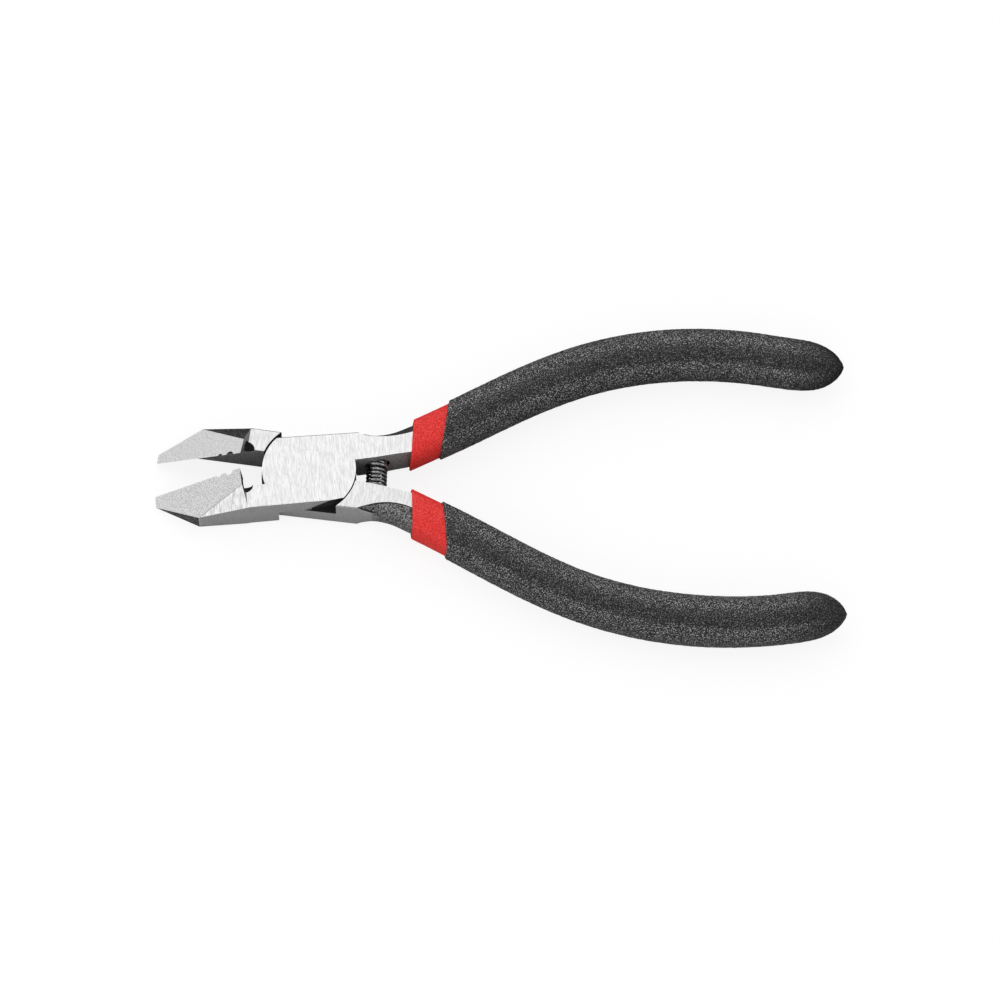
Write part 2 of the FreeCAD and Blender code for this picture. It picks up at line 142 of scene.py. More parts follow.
# ---- nodes -----------------------------------------------------------------------------
class Graph:
    """Short names for building one node tree."""

    def __init__(self, tree):
        self.tree = tree
        tree.nodes.clear()

    def add(self, kind, inputs=None, **settings):
        node = self.tree.nodes.new(kind)
        for name, value in settings.items():
            setattr(node, name, value)
        for name, value in (inputs or {}).items():
            self.put(node.inputs[name], value)
        return node

    def put(self, socket, value):
        if isinstance(value, bpy.types.NodeSocket):
            self.tree.links.new(value, socket)
        elif isinstance(value, tuple) and len(value) == 3 and socket.type == "RGBA":
            socket.default_value = (*value, 1.0)
        else:
            socket.default_value = value

    def math(self, operation, a, b=0.0, c=0.0):
        return self.add("ShaderNodeMath", {0: a, 1: b, 2: c}, operation=operation).outputs[0]

    def ramp(self, value, low, high, to_low=0.0, to_high=1.0):
        """Smooth step of value between low and high."""
        node = self.add("ShaderNodeMapRange", {"Value": value, "From Min": low,
                                               "From Max": high, "To Min": to_low,
                                               "To Max": to_high},
                        interpolation_type="SMOOTHSTEP")
        return node.outputs["Result"]

    def fade(self, value, low, high):
        """Smooth step from 1 down to 0 between low and high."""
        return self.ramp(value, low, high, 1.0, 0.0)

    def within(self, value, middle, reach, soft):
        """1 where value is within reach of middle, falling to 0 over soft."""
        off = self.math("ABSOLUTE", self.math("SUBTRACT", value, middle))
        return self.fade(off, reach, reach + soft)

    def times(self, a, b):
        return self.math("MULTIPLY", a, b)

    def all_of(self, *masks):
        result = masks[0]
        for mask in masks[1:]:
            result = self.times(result, mask)
        return result

    def any_of(self, *masks):
        result = masks[0]
        for mask in masks[1:]:
            result = self.math("MAXIMUM", result, mask)
        return result

    def none_of(self, mask):
        return self.math("SUBTRACT", 1.0, mask)

    def dot(self, a, b):
        return self.add("ShaderNodeVectorMath", {0: a, 1: b},
                        operation="DOT_PRODUCT").outputs["Value"]

    def distance(self, a, b):
        return self.add("ShaderNodeVectorMath", {0: a, 1: b},
                        operation="DISTANCE").outputs["Value"]

    def from_axis(self, a, b):
        """Length of the plane vector a, b."""
        return self.math("SQRT", self.math("MULTIPLY_ADD", a, a, self.times(b, b)))

    def grey(self, share, dark, light):
        return self.mix(share, (dark,) * 3, (light,) * 3)

    def mix(self, share, a, b):
        node = self.add("ShaderNodeMix", data_type="RGBA")
        self.put(node.inputs[0], share)
        self.put(node.inputs[6], a)
        self.put(node.inputs[7], b)
        return node.outputs[2]

    def blend(self, share, a, b):
        """The same for two numbers."""
        node = self.add("ShaderNodeMix", data_type="FLOAT")
        self.put(node.inputs[0], share)
        self.put(node.inputs[2], a)
        self.put(node.inputs[3], b)
        return node.outputs[0]

    def noise(self, vector, scale, detail=3.0, roughness=0.6, stretch=(1.0, 1.0, 1.0)):
        """Noise with cells of about 1/scale millimetres, stretched along each axis."""
        placed = self.add("ShaderNodeMapping", {"Vector": vector,
                                                "Scale": tuple(scale * s for s in stretch)})
        node = self.add("ShaderNodeTexNoise", {"Vector": placed.outputs[0], "Scale": 1.0,
                                               "Detail": detail, "Roughness": roughness})
        return node.outputs["Fac"]


def material(name):
    made = bpy.data.materials.new(name)
    made.use_nodes = True
    return made, Graph(made.node_tree)


def position_mm(graph, turn=0.0):
    """Object position in millimetres, turned about Z into the closed arm's own frame."""
    where = graph.add("ShaderNodeTexCoord")
    scaled = graph.add("ShaderNodeVectorMath", {0: where.outputs["Object"], "Scale": 1 / MM},
                       operation="SCALE")
    turned = graph.add("ShaderNodeMapping", {"Vector": scaled.outputs[0],
                                             "Rotation": (0.0, 0.0, turn)})
    return where, turned.outputs[0]


def finish(graph, shader_inputs, height, bump_mm):
    """Principled shader with a bump of the given height in millimetres."""
    bump = graph.add("ShaderNodeBump", {"Height": height, "Distance": bump_mm * MM,
                                        "Strength": 1.0})
    shader_inputs["Normal"] = bump.outputs["Normal"]
    shader = graph.add("ShaderNodeBsdfPrincipled", shader_inputs)
    graph.add("ShaderNodeOutputMaterial", {"Surface": shader.outputs[0]})


class ArmSkin:
    """Masks of the kinds of surface on one arm, in the closed arm's own frame."""

    def __init__(self, g, side):
        self.g, self.side = g, side
        where, self.place = position_mm(g, -side * REST_ANGLE)
        axes = g.add("ShaderNodeSeparateXYZ", {0: self.place}).outputs
        self.x, self.y, self.z = axes["X"], axes["Y"], axes["Z"]
        turned = g.add("ShaderNodeMapping", {"Vector": where.outputs["Normal"],
                                             "Rotation": (0.0, 0.0, -side * REST_ANGLE)},
                       vector_type="VECTOR")
        normal = g.add("ShaderNodeSeparateXYZ", {0: turned.outputs[0]}).outputs
        self.normal_x, self.normal_z = normal["X"], normal["Z"]
        self.upright = g.math("ABSOLUTE", normal["Z"])
        self.beyond = g.times(self.x, -1.0)
        self.jawwards = g.times(self.y, -1.0 * side)
        self.width = g.math("ABSOLUTE", self.y)
        self.outwards = g.times(self.y, normal["Y"])
        self.radius = g.from_axis(self.x, self.y)
        radial = g.math("MULTIPLY_ADD", self.x, normal["X"], self.outwards)
        self.radial = g.math("DIVIDE", g.math("ABSOLUTE", radial), self.radius)
        self.pits = g.noise(self.place, 2.7, 4.0, 0.75)
        self.sort_faces()
        self.find_forging()
        self.find_dark_places()

    def sort_faces(self):
        """Level faces, walls, and the two facets of the jaw."""
        g = self.g
        self.handle_side = g.fade(self.jawwards, -4.0, -3.0)
        self.on_tang = g.times(self.handle_side, g.ramp(self.x, 13.2, 14.0))
        self.border = self.past_flat_border()
        level = g.any_of(g.ramp(self.upright, *LEVEL),
                         g.times(self.on_tang, g.ramp(self.upright, *LEVEL_ON_TANG)))
        past_border = g.times(self.on_tang, g.ramp(self.border, -0.02, 0.04))
        self.flat = g.times(level, g.none_of(past_border))
        self.leaning = g.none_of(self.flat)
        self.wall = g.fade(self.upright, *WALL)
        sloping = g.math("SUBTRACT", self.leaning, g.times(self.leaning, self.wall))
        self.side_facet = g.times(sloping, g.fade(self.upright, *STEEP))
        self.big_facet = g.math("SUBTRACT", sloping, self.side_facet)
        self.inward = g.times(self.wall, g.fade(self.outwards, -0.6, -0.3))
        self.outer = g.times(self.wall, g.none_of(self.inward))

    def past_flat_border(self):
        """How far a point lies outside the border of the tang's flat on its own face."""
        g = self.g
        borders = []
        for lowest, bend, middle in (WIDE_FLAT, NARROW_FLAT):
            off = g.math("SUBTRACT", self.x, middle)
            borders.append(g.math("MULTIPLY_ADD", g.times(off, off), bend, lowest))
        front, back = borders if self.side == FRONT else borders[::-1]
        border = g.blend(g.ramp(self.z, MID_Z - 0.1, MID_Z + 0.1), back, front)
        return g.math("SUBTRACT", self.width, border)

    def above_slit(self):
        """Height above the middle of the slit, which drops from the face in a curve."""
        g = self.g
        depth = self.z if self.side == REAR else g.math("SUBTRACT", HEAD_THICKNESS, self.z)
        along = g.times(g.math("SUBTRACT", self.x, SLIT_X[0]), -1 / SLIT_RUN)
        middle = g.math("MULTIPLY_ADD", g.math("POWER", math.e, along), SLIT_DEPTH,
                        HEAD_THICKNESS - SLIT_DEPTH)
        return g.math("SUBTRACT", depth, middle)

    def find_forging(self):
        """As-forged skin of the tang, with the slit painted black as painted shade and a
        painted glint where the ground side ends.
        """
        g = self.g
        over = self.above_slit()
        opening = g.times(g.ramp(self.x, SLIT_X[0], 13.8),
                          g.ramp(self.x, 15.2, SLIT_X[1], SLIT_HALF_WIDTH, 0.0))
        off = g.math("SUBTRACT", g.math("ABSOLUTE", over), opening)
        self.slit = g.all_of(self.handle_side, self.leaning, g.ramp(self.x, 12.4, 12.5),
                             g.fade(self.x, SLIT_X[1] - 0.2, SLIT_X[1]),
                             g.fade(off, -0.1, 0.05))
        self.glint = g.all_of(self.handle_side, self.leaning, g.ramp(self.x, 13.2, 13.6),
                              g.fade(self.x, 15.0, 15.6), g.within(over, -0.62, 0.08, 0.1))
        wavy = g.math("ADD", self.x, g.math("MULTIPLY_ADD", self.pits, 1.6, -0.8))
        above = g.all_of(g.ramp(self.x, TANG_START_X, TANG_START_X + 0.3),
                         self.handle_side, g.ramp(over, -0.1, 0.1))
        beyond = g.ramp(wavy, TANG_START_X + 2.2, TANG_START_X + 4.6)
        self.forged = g.all_of(self.leaning, g.none_of(self.inward),
                               g.any_of(above, beyond))

    def find_dark_places(self):
        """The taper and step of the jaw, and the places painted black as painted shade: lap,
        shoulder walls, hollow, pocket, slit, flat's border, notches and undercut.
        """
        g = self.g
        self.taper = g.times(self.outer, g.ramp(self.beyond, -TAPER_X - 0.1,
                                                -TAPER_X + 0.1))
        # a painted highlight line along the edge where the taper starts
        self.taper_edge_highlight = g.times(self.outer, g.within(self.x, TAPER_X, 0.08, 0.1))
        self.step = g.all_of(self.wall, g.ramp(self.normal_x, 0.75, 0.9),
                             g.ramp(self.beyond, -STEP_X, -STEP_X + 0.3),
                             g.ramp(self.z, HEAD_THICKNESS - 0.1, HEAD_THICKNESS + 0.1))
        # painted shade: the lap face seen under the other arm's half, the round walls of the
        # shoulders, the rim of the hollow and the spring's pocket
        in_lap = g.times(self.flat, g.within(self.z, MID_Z, 0.15, 0.1))
        low, high = SHOULDER_RADII
        arc = g.all_of(self.wall, g.ramp(self.radial, 0.92, 0.94),
                       g.within(self.radius, (low + high) / 2, (high - low) / 2, 0.02))
        x, y, z = HOLLOW_CENTRE
        hollow = g.within(g.distance(self.place, (x, -self.side * y, z)), HOLLOW_RADIUS,
                          0.06, 0.05)
        pocket = g.from_axis(g.math("SUBTRACT", self.x, POCKET_AXIS_X),
                             g.math("SUBTRACT", self.z, MID_Z))
        pocket = g.times(g.fade(pocket, POCKET_RADIUS + 0.01, POCKET_RADIUS + 0.05),
                         g.fade(self.width, 5.0, 5.2))
        border_line = g.all_of(self.on_tang, g.within(self.border, 0.14, 0.08, 0.08),
                               g.ramp(self.upright, 0.3, 0.4))
        # all of these places are painted near-black as painted shade
        places = [in_lap, arc, hollow, pocket, self.slit, border_line]
        for notch_x, notch_radius in NOTCHES:
            off = g.from_axis(g.math("SUBTRACT", self.x, notch_x), self.y)
            places.append(g.times(g.within(off, notch_radius, 0.1, 0.05),
                                  g.fade(self.upright, 0.3, 0.4)))
        # painted shade under the corner of the front arm's lap
        if self.side == FRONT:
            start, end = UNDERCUT_X
            places.append(g.all_of(g.within(self.normal_z, UNDERCUT_NORMAL_Z, 0.05, 0.02),
                                   g.ramp(self.x, start, start + 0.1),
                                   g.fade(self.x, end, end + 0.1),
                                   g.ramp(self.jawwards, 5.0, 5.5)))
        self.black = g.any_of(*places)

    def ridge(self):
        """Line along the side facet where it meets the big one."""
        g = self.g
        fall = g.math("MULTIPLY_ADD", g.math("SUBTRACT", self.x, EDGE_ROOT_X), BLADE_SLOPE,
                      EDGE_ROOT_Z)
        fall = g.math("SUBTRACT", fall, g.times(self.width, FACET_FALL))
        return g.times(self.side_facet, g.fade(g.math("SUBTRACT", fall, self.z), 0.10,
                                               0.18))

    def wear_and_highlight(self):
        """Edges painted bright from the angle between rounded and sharp normals, partly edge
        wear and partly painted highlight, with the painted glint and the highlight line at the
        taper's edge.
        """
        g = self.g
        rounded = g.add("ShaderNodeBevel", {"Radius": 0.2 * MM}, samples=4)
        sharp = g.add("ShaderNodeNewGeometry")
        edge = g.ramp(g.dot(rounded.outputs[0], sharp.outputs["Normal"]), 0.985, 0.90)
        wear_and_highlight = g.any_of(g.times(edge, 0.6), self.glint, g.times(self.taper_edge_highlight, 0.8))
        return g.times(wear_and_highlight, g.none_of(self.black))


def arm_steel(name, side):
    """Ground faces, finely blasted jaw facets, milled sides and as-forged tang."""
    made, g = material(name)
    skin = ArmSkin(g, side)
    place, pits = skin.place, skin.pits
    lines = g.noise(place, 4.2, 3.0, 0.6, (1.0, 0.11, 0.11))
    fine_lines = g.noise(place, 5.5, 2.0, 0.5, (1.0, 0.11, 0.11))
    grain = g.noise(place, 3.8, 3.0, 0.65)
    cloud = g.noise(place, 0.22, 2.0, 0.5)
    upright_grain = g.noise(place, 3.2, 3.0, 0.6, (1.0, 1.0, 0.15))

    # the rear arm's ground faces are painted a little darker than the front arm's: painted
    # shade
    shade = 1.0 if side == FRONT else 0.95
    ground = g.grey(g.ramp(lines, 0.36, 0.64), 0.70 * shade, 0.93 * shade)
    ground = g.mix(g.times(g.ramp(fine_lines, 0.52, 0.72), 0.5), ground, (shade,) * 3)
    ground = g.mix(g.times(g.ramp(cloud, 0.35, 0.8), 0.12), ground, (0.66,) * 3)
    # lit and shaded copies of the jaw facets: the side facet is painted light on the front arm
    # and painted dark on the rear arm, and the big facet a little lighter on the rear arm;
    # painted reflection and painted shade, not a difference of finish
    if side == FRONT:
        blasted = g.grey(g.ramp(grain, 0.34, 0.66), 0.42, 0.78)
        facet = g.grey(g.ramp(lines, 0.36, 0.64), 0.46, 0.82)
        facet = g.mix(g.times(g.ramp(fine_lines, 0.5, 0.7), 0.4), facet, (0.85,) * 3)
    else:
        blasted = g.grey(g.ramp(grain, 0.33, 0.67), 0.54, 0.83)
        facet = g.grey(g.ramp(lines, 0.36, 0.64), 0.16, 0.36)
    milled = g.grey(g.ramp(upright_grain, 0.3, 0.7), 0.70, 0.80)
    # walls facing the other arm: a tone of their own, partly diffuse, set to stand in for the
    # light that reaches them in the shade between the arms; painted light and shade
    rubbed = g.grey(g.ramp(pits, 0.36, 0.64), 0.24, 0.66)
    scale = g.grey(g.ramp(pits, 0.44, 0.56), 0.025, 0.28)
    scale = g.mix(g.ramp(pits, 0.58, 0.68), scale, (0.80,) * 3)

    colour = g.mix(skin.big_facet, ground, blasted)
    colour = g.mix(skin.side_facet, colour, facet)
    colour = g.mix(skin.wall, colour, milled)
    # painted light and shade on the walls facing the other arm
    colour = g.mix(skin.inward, colour, rubbed)
    colour = g.mix(skin.step, colour, g.grey(grain, 0.12, 0.30))
    colour = g.mix(g.any_of(skin.forged, skin.taper), colour, scale)
    colour = g.mix(g.times(skin.taper, 0.5), colour, (0.03,) * 3)
    if side == FRONT:
        # the outward-facing forged side of the front arm's tang is painted near-black: painted
        # shade
        painted_shade_sliver = g.times(skin.forged, g.ramp(skin.outwards, 0.2, 1.0))
        colour = g.mix(g.times(painted_shade_sliver, 0.8), colour, (0.012,) * 3)
    colour = g.mix(g.times(skin.ridge(), 0.6), colour, (0.10,) * 3)
    # the places of find_dark_places painted near-black: painted shade
    colour = g.mix(skin.black, colour, (0.010,) * 3)
    ring = g.within(skin.radius, RIVET_RADIUS, 0.03, 0.06)
    colour = g.mix(g.times(ring, 0.3), colour, (0.25,) * 3)
    # painted highlight along the edges, partly edge wear
    colour = g.mix(skin.wear_and_highlight(), colour, (0.90,) * 3)

    unground = g.any_of(skin.forged, skin.taper, skin.black)
    rough = g.blend(skin.big_facet, g.ramp(lines, 0.2, 0.8, 0.25, 0.37), 0.34)
    rough = g.blend(skin.wall, rough, 0.38)
    rough = g.blend(unground, rough, g.ramp(pits, 0.3, 0.7, 0.68, 0.45))
    rough = g.blend(skin.black, rough, 0.9)
    metal = g.blend(unground, 1.0, 0.45)
    metal = g.blend(skin.inward, metal, 0.6)
    metal = g.blend(skin.black, metal, 0.0)
    smooth_height = g.times(g.blend(skin.big_facet, lines, grain), 0.1)
    height = g.blend(g.any_of(unground, skin.inward), smooth_height, pits)
    finish(g, {"Base Color": colour, "Metallic": metal, "Roughness": rough,
               "Specular IOR Level": 0.5}, height, 0.08)
    return made


def rivet_steel():
    """The rivet's ends, ground level with the faces."""
    made, g = material("rivet_steel")
    place = position_mm(g)[1]
    lines = g.noise(place, 4.2, 3.0, 0.6, (1.0, 0.11, 0.11))
    grain = g.noise(place, 5.0, 3.0, 0.6)
    colour = g.grey(g.ramp(lines, 0.36, 0.64), 0.72, 0.94)
    colour = g.mix(g.times(g.ramp(grain, 0.5, 0.8), 0.2), colour, (0.72,) * 3)
    finish(g, {"Base Color": colour, "Metallic": 1.0,
               "Roughness": g.ramp(lines, 0.2, 0.8, 0.25, 0.37)}, lines, 0.006)
    return made


def spring_steel():
    """Oiled, blackened wire with faint drawing marks and rubbed spots."""
    made, g = material("spring_steel")
    place = position_mm(g)[1]
    marks = g.noise(place, 6.0, 3.0, 0.6)
    rubbed = g.ramp(g.noise(place, 1.3, 2.0, 0.5), 0.55, 0.75)
    colour = g.mix(g.ramp(marks, 0.42, 0.58), (0.06, 0.06, 0.065), (0.62, 0.62, 0.63))
    colour = g.mix(g.times(rubbed, 0.7), colour, (0.92,) * 3)
    finish(g, {"Base Color": colour, "Metallic": 1.0,
               "Roughness": g.ramp(marks, 0.3, 0.7, 0.10, 0.22)}, marks, 0.01)
    return made


def red_vinyl():
    """Matte dipped vinyl with a fine orange-peel grain."""
    made, g = material("red_vinyl")
    place = position_mm(g)[1]
    peel = g.noise(place, 3.2, 3.0, 0.65)
    cloud = g.noise(place, 0.35, 2.0, 0.5)
    colour = g.mix(g.ramp(peel, 0.42, 0.58), (0.70, 0.014, 0.012), (1.0, 0.066, 0.058))
    colour = g.mix(g.times(g.ramp(cloud, 0.4, 0.8), 0.3), colour,
                   (0.70, 0.018, 0.016))
    finish(g, {"Base Color": colour, "Roughness": g.ramp(peel, 0.3, 0.7, 0.62, 0.48),
               "Specular IOR Level": 0.3}, peel, 0.05)
    return made


def black_vinyl():
    """Foamed black vinyl, with the glints of burst bubbles painted in as bright specks."""
    made, g = material("black_vinyl")
    where, place = position_mm(g)
    foam = g.noise(place, 3.4, 3.0, 0.7)
    patchy = g.noise(place, 0.7, 2.0, 0.5)
    painted_glint_speck = g.noise(place, 3.9, 2.0, 0.6)
    cells = g.add("ShaderNodeTexVoronoi", {"Vector": place, "Scale": 2.4})
    colour = g.mix(g.ramp(foam, 0.45, 0.57), (0.001, 0.001, 0.001), (0.040, 0.040, 0.041))
    # painted highlight: bright specks as glints
    colour = g.mix(g.ramp(painted_glint_speck, 0.56, 0.60), colour, (0.46, 0.46, 0.465))
    colour = g.mix(g.times(g.ramp(patchy, 0.4, 0.7), 0.25), colour,
                   (0.015, 0.015, 0.015))
    # the parts facing up and a little to one side are painted darker: painted shade, the dark
    # middle between the grip's two lighter bands
    facing = g.dot(where.outputs["Normal"], (0.0, -0.26, 0.966))
    crest_painted_shade = g.ramp(g.math("ABSOLUTE", facing), 0.92, 0.985)
    colour = g.mix(g.times(crest_painted_shade, 0.55), colour, (0.006,) * 3)
    # the last part of the grip towards its end is painted darker: painted shade
    x = g.add("ShaderNodeSeparateXYZ", {0: place}).outputs["X"]
    colour = g.mix(g.times(g.ramp(x, 108.0, 124.0), 0.8), colour,
                   (0.005, 0.005, 0.005))
    height = g.math("ADD", g.math("MULTIPLY", foam, 0.7),
                    g.math("MULTIPLY", cells.outputs["Distance"], 0.5))
    finish(g, {"Base Color": colour, "Roughness": g.ramp(painted_glint_speck, 0.4, 0.66, 0.55, 0.30),
               "Specular IOR Level": 0.28}, height, 0.07)
    return made


# ---- meshes ----------------------------------------------------------------------------
def natural_spline(points):
    """Function of x that gives y and its slope on the natural cubic through the points."""
    xs, ys = np.array(points, float).T
    gaps = np.diff(xs)
    slopes = np.diff(ys) / gaps
    count = len(xs)
    matrix = np.eye(count)
    right = np.zeros(count)
    for i in range(1, count - 1):
        matrix[i, i - 1:i + 2] = gaps[i - 1], 2 * (gaps[i - 1] + gaps[i]), gaps[i]
        right[i] = 6 * (slopes[i] - slopes[i - 1])
    bends = np.linalg.solve(matrix, right)

    def at(x):
        k = np.clip(np.searchsorted(xs, x) - 1, 0, count - 2)
        gap, step = gaps[k], x - xs[k]
        a, b = bends[k], bends[k + 1]
        first = slopes[k] - gap * (2 * a + b) / 6
        y = ys[k] + first * step + a * step ** 2 / 2 + (b - a) * step ** 3 / (6 * gap)
        slope = first + a * step + (b - a) * step ** 2 / (2 * gap)
        return y, slope

    return at


def smooth_step(value):
    share = np.clip(value, 0.0, 1.0)
    return share * share * (3 - 2 * share)


def mesh_object(name, points, faces):
    """Smooth-shaded object from points in millimetres."""
    mesh = bpy.data.meshes.new(name)
    mesh.from_pydata((np.asarray(points) * MM).tolist(), [], faces)
    mesh.validate()
    mesh.shade_smooth()
    made = bpy.data.objects.new(name, mesh)
    bpy.context.scene.collection.objects.link(made)
    return made


def bridged(rings, segments, start=0):
    """Quads between rings of segments points each, numbered from start."""
    faces = []
    for ring in range(rings - 1):
        low = start + ring * segments
        for i in range(segments):
            j = (i + 1) % segments
            faces.append((low + i, low + j, low + segments + j, low + segments + i))
    return faces


class Coat:
    """A dipped coat of one handle: outside, rounded rim and inside, as one closed skin."""

    def __init__(self, side, size, mouth, end_x):
        self.side = side
        self.line = natural_spline(CENTRELINE[side])
        self.uneven = natural_spline(UNEVEN[side])
        self.half_width, self.half_thickness, self.wall = size
        self.mouth_x, lean = mouth
        self.lean = math.tan(math.radians(lean))
        self.end_x = end_x

    def surface(self, x, angle, inset):
        """Points and outward directions at stations x, round the section at angle."""
        past = smooth_step((x - FULL_X[0]) / (FULL_X[1] - FULL_X[0]))
        power = MOUTH_POWER + (HAND_POWER - MOUTH_POWER) * past
        back = np.clip((self.end_x - x) / NOSE_LENGTH, 0.0, 1.0)
        nose = (1 - (1 - back) ** 3) ** NOSE_POWER
        width = self.half_width * (MOUTH_SHARE + (1 - MOUTH_SHARE) * past)
        width = (width + self.uneven(x)[0] - inset) * nose
        thick = (self.half_thickness - inset) * nose
        cosine, sine = np.cos(angle), np.sin(angle)
        reach = (np.abs(cosine / self.half_width) ** power
                 + np.abs(sine / self.half_thickness) ** power) ** (-1 / power)
        out = reach * cosine * width / self.half_width
        up = reach * sine * thick / self.half_thickness
        y, slope = self.line(x)
        along = np.hypot(1.0, slope)
        px = x - out * slope / along
        py = y + out / along
        return np.stack([px, py, MID_Z + up], -1)

    def mouth(self, angle, inset):
        """Station at which the section meets the dip line, at each angle."""
        x = np.full_like(angle, self.mouth_x)
        for _ in range(12):
            px, py, pz = self.surface(x, angle, inset).T
            x = x + self.mouth_x + self.lean * py + MOUTH_RAKE * (pz - MID_Z) - px
        return x

    def skin(self, name, segments, spacing, rim, grain):
        """Closed skin with a rim of the given radius; grain is (size, height) pairs."""
        angle = np.linspace(0, 2 * math.pi, segments, endpoint=False)
        start = self.mouth(angle, 0.0)
        rim_steps = rim * (1 - np.cos(np.linspace(0, math.pi / 2, 7)))
        body_length = self.end_x - NOSE_LENGTH - self.mouth_x
        body = np.linspace(rim, body_length, int(body_length / spacing))[1:]
        nose_turn = np.linspace(0, math.pi / 2, int(NOSE_LENGTH / spacing) + 8)[1:-1]
        nose = body_length + NOSE_LENGTH * np.sin(nose_turn)
        runs = np.concatenate([rim_steps, body, nose])
        total = self.end_x - self.mouth_x
        points = []
        for run in runs:
            x = self.mouth_x + run + (start - self.mouth_x) * (1 - run / total) ** 2
            depth = rim - math.sqrt(max(rim ** 2 - max(rim - run, 0.0) ** 2, 0.0))
            points.append(self.surface(x, angle, depth))
        outer = np.array(points)
        outer = self.grained(outer, grain)
        end = self.surface(np.array([self.end_x]), np.array([0.0]), 0.0)
        inside = []
        inner_start = self.mouth(angle, self.wall)
        inner_total = total - 2 * self.wall
        for share in np.linspace(0, 1, INNER_RINGS) ** 1.3 * 0.97:
            x = self.mouth_x + share * inner_total
            x = x + (inner_start - self.mouth_x) * (1 - share) ** 2
            inside.append(self.surface(x, angle, self.wall))
        inner_end = self.surface(np.array([self.end_x - 2 * self.wall]), np.array([0.0]), 0.0)

        rings = len(outer)
        faces = bridged(rings, segments)
        tip = rings * segments
        last = (rings - 1) * segments
        inner = tip + 1
        inner_last = inner + (INNER_RINGS - 1) * segments
        inner_tip = inner + INNER_RINGS * segments
        for i in range(segments):
            j = (i + 1) % segments
            faces.append((last + i, last + j, tip))
            faces.append((inner + j, inner + i, i, j))
            faces.append((inner_last + j, inner_last + i, inner_tip))
        faces += [face[::-1] for face in bridged(INNER_RINGS, segments, inner)]
        everything = np.concatenate([outer.reshape(-1, 3), end,
                                     np.array(inside).reshape(-1, 3), inner_end])
        cos, sin = math.cos(REST_ANGLE), math.sin(REST_ANGLE)
        px, py, pz = everything.T
        placed = np.stack([px * cos - py * sin, (px * sin + py * cos) * self.side, pz], -1)
        if self.side == FRONT:
            faces = [face[::-1] for face in faces]
        return mesh_object(name, placed, faces)

    def grained(self, rings, grain):
        """The rings, pushed out and in by small random bumps."""
        across = np.roll(rings, -1, 1) - np.roll(rings, 1, 1)
        along = np.gradient(rings, axis=0)
        normal = np.cross(along, across)
        normal /= np.maximum(np.linalg.norm(normal, axis=-1, keepdims=True), 1e-9)
        middle = rings.mean(1, keepdims=True)
        inwards = ((rings - middle) * normal).sum(-1, keepdims=True) < 0
        normal = np.where(inwards, -normal, normal)
        heights = np.zeros(rings.shape[:2])
        flat = rings.reshape(-1, 3)
        for size, amount in grain:
            heights += amount * np.array([noise.noise(Vector(p) / size) for p in flat]
                                         ).reshape(heights.shape)
        return rings + normal * heights[..., None]


def coil_spring():
    """Coil spring along Y, with its wide end turn at the front arm's wall."""
    per_turn, sides = 56, 14
    turns = np.linspace(0, SPRING_TURNS, SPRING_TURNS * per_turn + 1)
    lay = turns / SPRING_TURNS
    y = SPRING_HALF_LENGTH * (2 * lay - 1)
    turn_angle = 2 * math.pi * turns
    wide, spread, extra = WIDE_TURN
    radius = SPRING_RADIUS + extra * np.exp(-((turns - wide) / spread) ** 2)
    axis = np.array([SPRING_AXIS_X, 0.0, MID_Z])
    centre = np.stack([radius * np.cos(turn_angle), y, radius * np.sin(turn_angle)], -1) + axis
    tangent = np.gradient(centre, axis=0)
    tangent /= np.linalg.norm(tangent, axis=-1, keepdims=True)
    outward = np.stack([np.cos(turn_angle), 0 * y, np.sin(turn_angle)], -1)
    binormal = np.cross(tangent, outward)
    binormal /= np.linalg.norm(binormal, axis=-1, keepdims=True)
    outward = np.cross(binormal, tangent)
    points = []
    for step in range(sides):
        around = 2 * math.pi * step / sides
        points.append(centre + SPRING_WIRE_RADIUS * (math.cos(around) * outward
                                                     + math.sin(around) * binormal))
    rings = np.stack(points, 1)
    faces = bridged(len(rings), sides)
    last = (len(rings) - 1) * sides
    faces.append(tuple(range(sides))[::-1])
    faces.append(tuple(range(last, last + sides)))
    return mesh_object("coil_spring", rings.reshape(-1, 3), faces)


# ---- pieces ----------------------------------------------------------------------------
for node_name, made in (("front_arm", arm_steel("front_arm_steel", FRONT)),
                        ("rear_arm", arm_steel("rear_arm_steel", REAR)),
                        ("pivot_rivet", rivet_steel())):
    nodes[node_name].data.materials.clear()
    nodes[node_name].data.materials.append(made)

red, black = red_vinyl(), black_vinyl()
for side, word in ((FRONT, "front"), (REAR, "rear")):
    sleeve = Coat(side, SLEEVE_SIZE, SLEEVE_MOUTH[side], END_X[side] - SLEEVE_SHORTER)
    piece = sleeve.skin(word + "_sleeve_dip", 120, 0.6, 0.3, ((0.9, 0.03), (0.45, 0.02)))
    piece.data.materials.append(red)
    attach(piece, BODY[side])
    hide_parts(word + "_inner_sleeve")
    grip = Coat(side, GRIP_SIZE, GRIP_MOUTH[side], END_X[side])
    piece = grip.skin(word + "_grip_foam", 150, 0.3, 0.35, ((0.8, 0.07), (0.4, 0.05)))
    piece.data.materials.append(black)
    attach(piece, BODY[side])
    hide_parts(word + "_grip")

spring = coil_spring()
spring.data.materials.append(spring_steel())
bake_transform(spring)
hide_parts("return_spring")


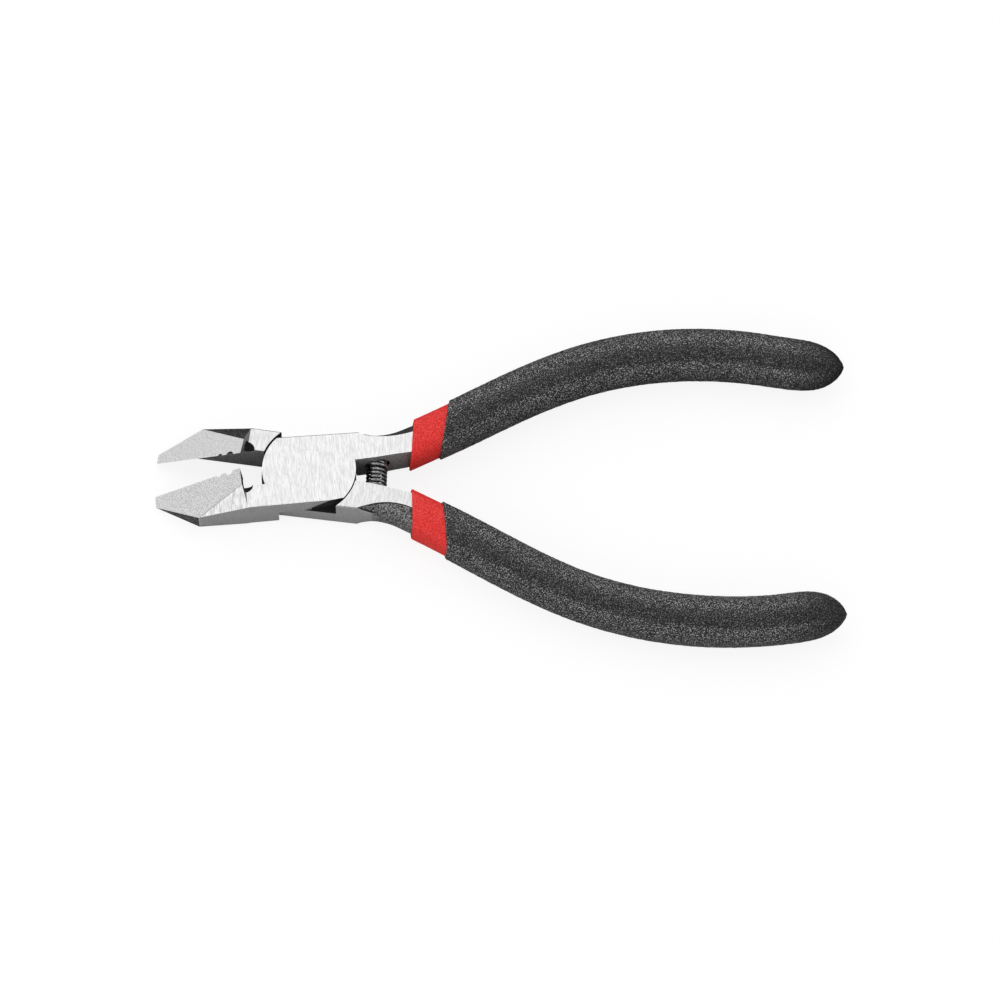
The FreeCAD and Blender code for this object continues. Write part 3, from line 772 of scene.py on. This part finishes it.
# ---- studio ----------------------------------------------------------------------------
def studio_floor():
    mesh = bpy.data.meshes.new("studio_floor")
    reach = 2.5
    level = min(cad_box[0][2], 0.0) - 0.00004
    mesh.from_pydata([(-reach, -reach, level), (reach, -reach, level), (reach, reach, level),
                      (-reach, reach, level)], [], [(0, 1, 2, 3)])
    floor = bpy.data.objects.new("studio_floor", mesh)
    bpy.context.scene.collection.objects.link(floor)
    made, g = material("studio_floor")
    glow = g.add("ShaderNodeEmission", {"Color": (1.0, 1.0, 1.0), "Strength": 0.86})
    paper = g.add("ShaderNodeBsdfDiffuse", {"Color": (0.18, 0.18, 0.18)})
    seen = g.add("ShaderNodeAddShader", {0: glow.outputs[0], 1: paper.outputs[0]})
    across = g.add("ShaderNodeSeparateXYZ",
                   {0: g.add("ShaderNodeTexCoord").outputs["Object"]}).outputs["Y"]
    tone = g.mix(g.ramp(across, -0.005, 0.02), (0.42, 0.42, 0.42), (0.09, 0.09, 0.09))
    table = g.add("ShaderNodeBsdfDiffuse", {"Color": tone})
    path = g.add("ShaderNodeLightPath")
    pick = g.add("ShaderNodeMixShader", {0: path.outputs["Is Camera Ray"],
                                         1: table.outputs[0], 2: seen.outputs[0]})
    g.add("ShaderNodeOutputMaterial", {"Surface": pick.outputs[0]})
    mesh.materials.append(made)


def studio_world():
    """Bright tent: soft panels of light by direction, over an even grey."""
    world = bpy.data.worlds.new("studio")
    world.use_nodes = True
    g = Graph(world.node_tree)
    direction = g.add("ShaderNodeTexCoord").outputs["Generated"]
    # direction to the panel, cosine at its edge and at its middle, brightness added
    panels = (((0.0, 0.42, 0.91), 0.70, 0.95, 0.38),
              ((-0.2, -0.93, 0.30), 0.60, 0.95, 0.80),
              ((-0.85, 0.35, 0.33), 0.55, 0.93, 0.60),
              ((0.9, 0.0, 0.35), 0.60, 0.95, 0.15),
              ((0.0, 0.86, 0.51), 0.86, 0.96, 0.6),
              ((0.0, -0.30, 0.95), 0.88, 0.975, -0.46))
    total = 0.50
    for axis, edge, middle, amount in panels:
        unit = tuple(Vector(axis).normalized())
        facing = g.dot(direction, unit)
        total = g.math("ADD", g.ramp(facing, edge, middle, 0.0, amount), total)
    path = g.add("ShaderNodeLightPath")
    strength = g.blend(path.outputs["Is Camera Ray"], total, 0.94)
    light = g.add("ShaderNodeBackground", {"Color": (1.0, 1.0, 1.0), "Strength": strength})
    g.add("ShaderNodeOutputWorld", {"Surface": light.outputs[0]})
    bpy.context.scene.world = world


def soft_light(name, place, size, power):
    lamp = bpy.data.lights.new(name, "AREA")
    lamp.shape = "RECTANGLE"
    lamp.size, lamp.size_y = size
    lamp.energy = power
    made = bpy.data.objects.new(name, lamp)
    bpy.context.scene.collection.objects.link(made)
    made.location = place
    made.rotation_euler = (-Vector(place)).to_track_quat("-Z", "Y").to_euler()


def photo_camera():
    """Long lens looking down on the tool from the front, a little rolled."""
    elevation, roll = math.radians(ELEVATION), math.radians(ROLL)
    level = Vector((1, 0, 0))
    up0 = Vector((0, math.sin(elevation), math.cos(elevation)))
    back = Vector((0, -math.cos(elevation), math.sin(elevation)))
    right = level * math.cos(roll) + up0 * math.sin(roll)
    up = up0 * math.cos(roll) - level * math.sin(roll)
    target = Vector((0, 0, MID_Z * MM)) + right * TARGET_RIGHT - up * TARGET_DOWN
    lens = bpy.data.cameras.new("camera")
    lens.lens = FOCAL_LENGTH
    lens.sensor_width = SENSOR_WIDTH
    lens.clip_end = 10
    camera = bpy.data.objects.new("camera", lens)
    bpy.context.scene.collection.objects.link(camera)
    turned = Matrix((right, up, back)).transposed().to_4x4()
    camera.matrix_world = Matrix.Translation(target + back * CAMERA_DISTANCE) @ turned
    bpy.context.scene.camera = camera


studio_floor()
studio_world()
soft_light("key_panel", (0.05, 0.34, 0.75), (0.5, 0.35), 0.10)
photo_camera()
bpy.context.scene.view_settings.view_transform = "Standard"
